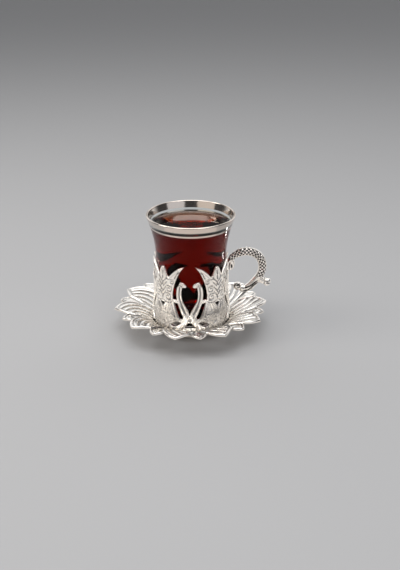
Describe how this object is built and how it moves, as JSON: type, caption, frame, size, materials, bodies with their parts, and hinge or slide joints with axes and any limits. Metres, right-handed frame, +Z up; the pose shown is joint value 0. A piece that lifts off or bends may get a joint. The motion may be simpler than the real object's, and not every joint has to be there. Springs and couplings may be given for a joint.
{
  "type": "turkish tea glass",
  "caption": "Flared glass of black tea in a silver-plated openwork swan holder with a ring handle, standing on a pierced petal saucer.",
  "frame": {"origin": "centre of the saucer's flat underside, on the table", "axes": "+Z up along the axis of glass, holder and saucer; +X towards the handle; -Y is the front of the picture"},
  "size_m": [0.1107, 0.108, 0.085],
  "materials": {
    "silver": "polished silver plate",
    "glass": "clear",
    "tea": "liquid, clear dark red brown"
  },
  "bodies": {
    "root": {"saucer": "silver", "holder": "silver", "handle": "silver", "glass": "glass", "tea": "tea"}
  },
  "joints": []
}
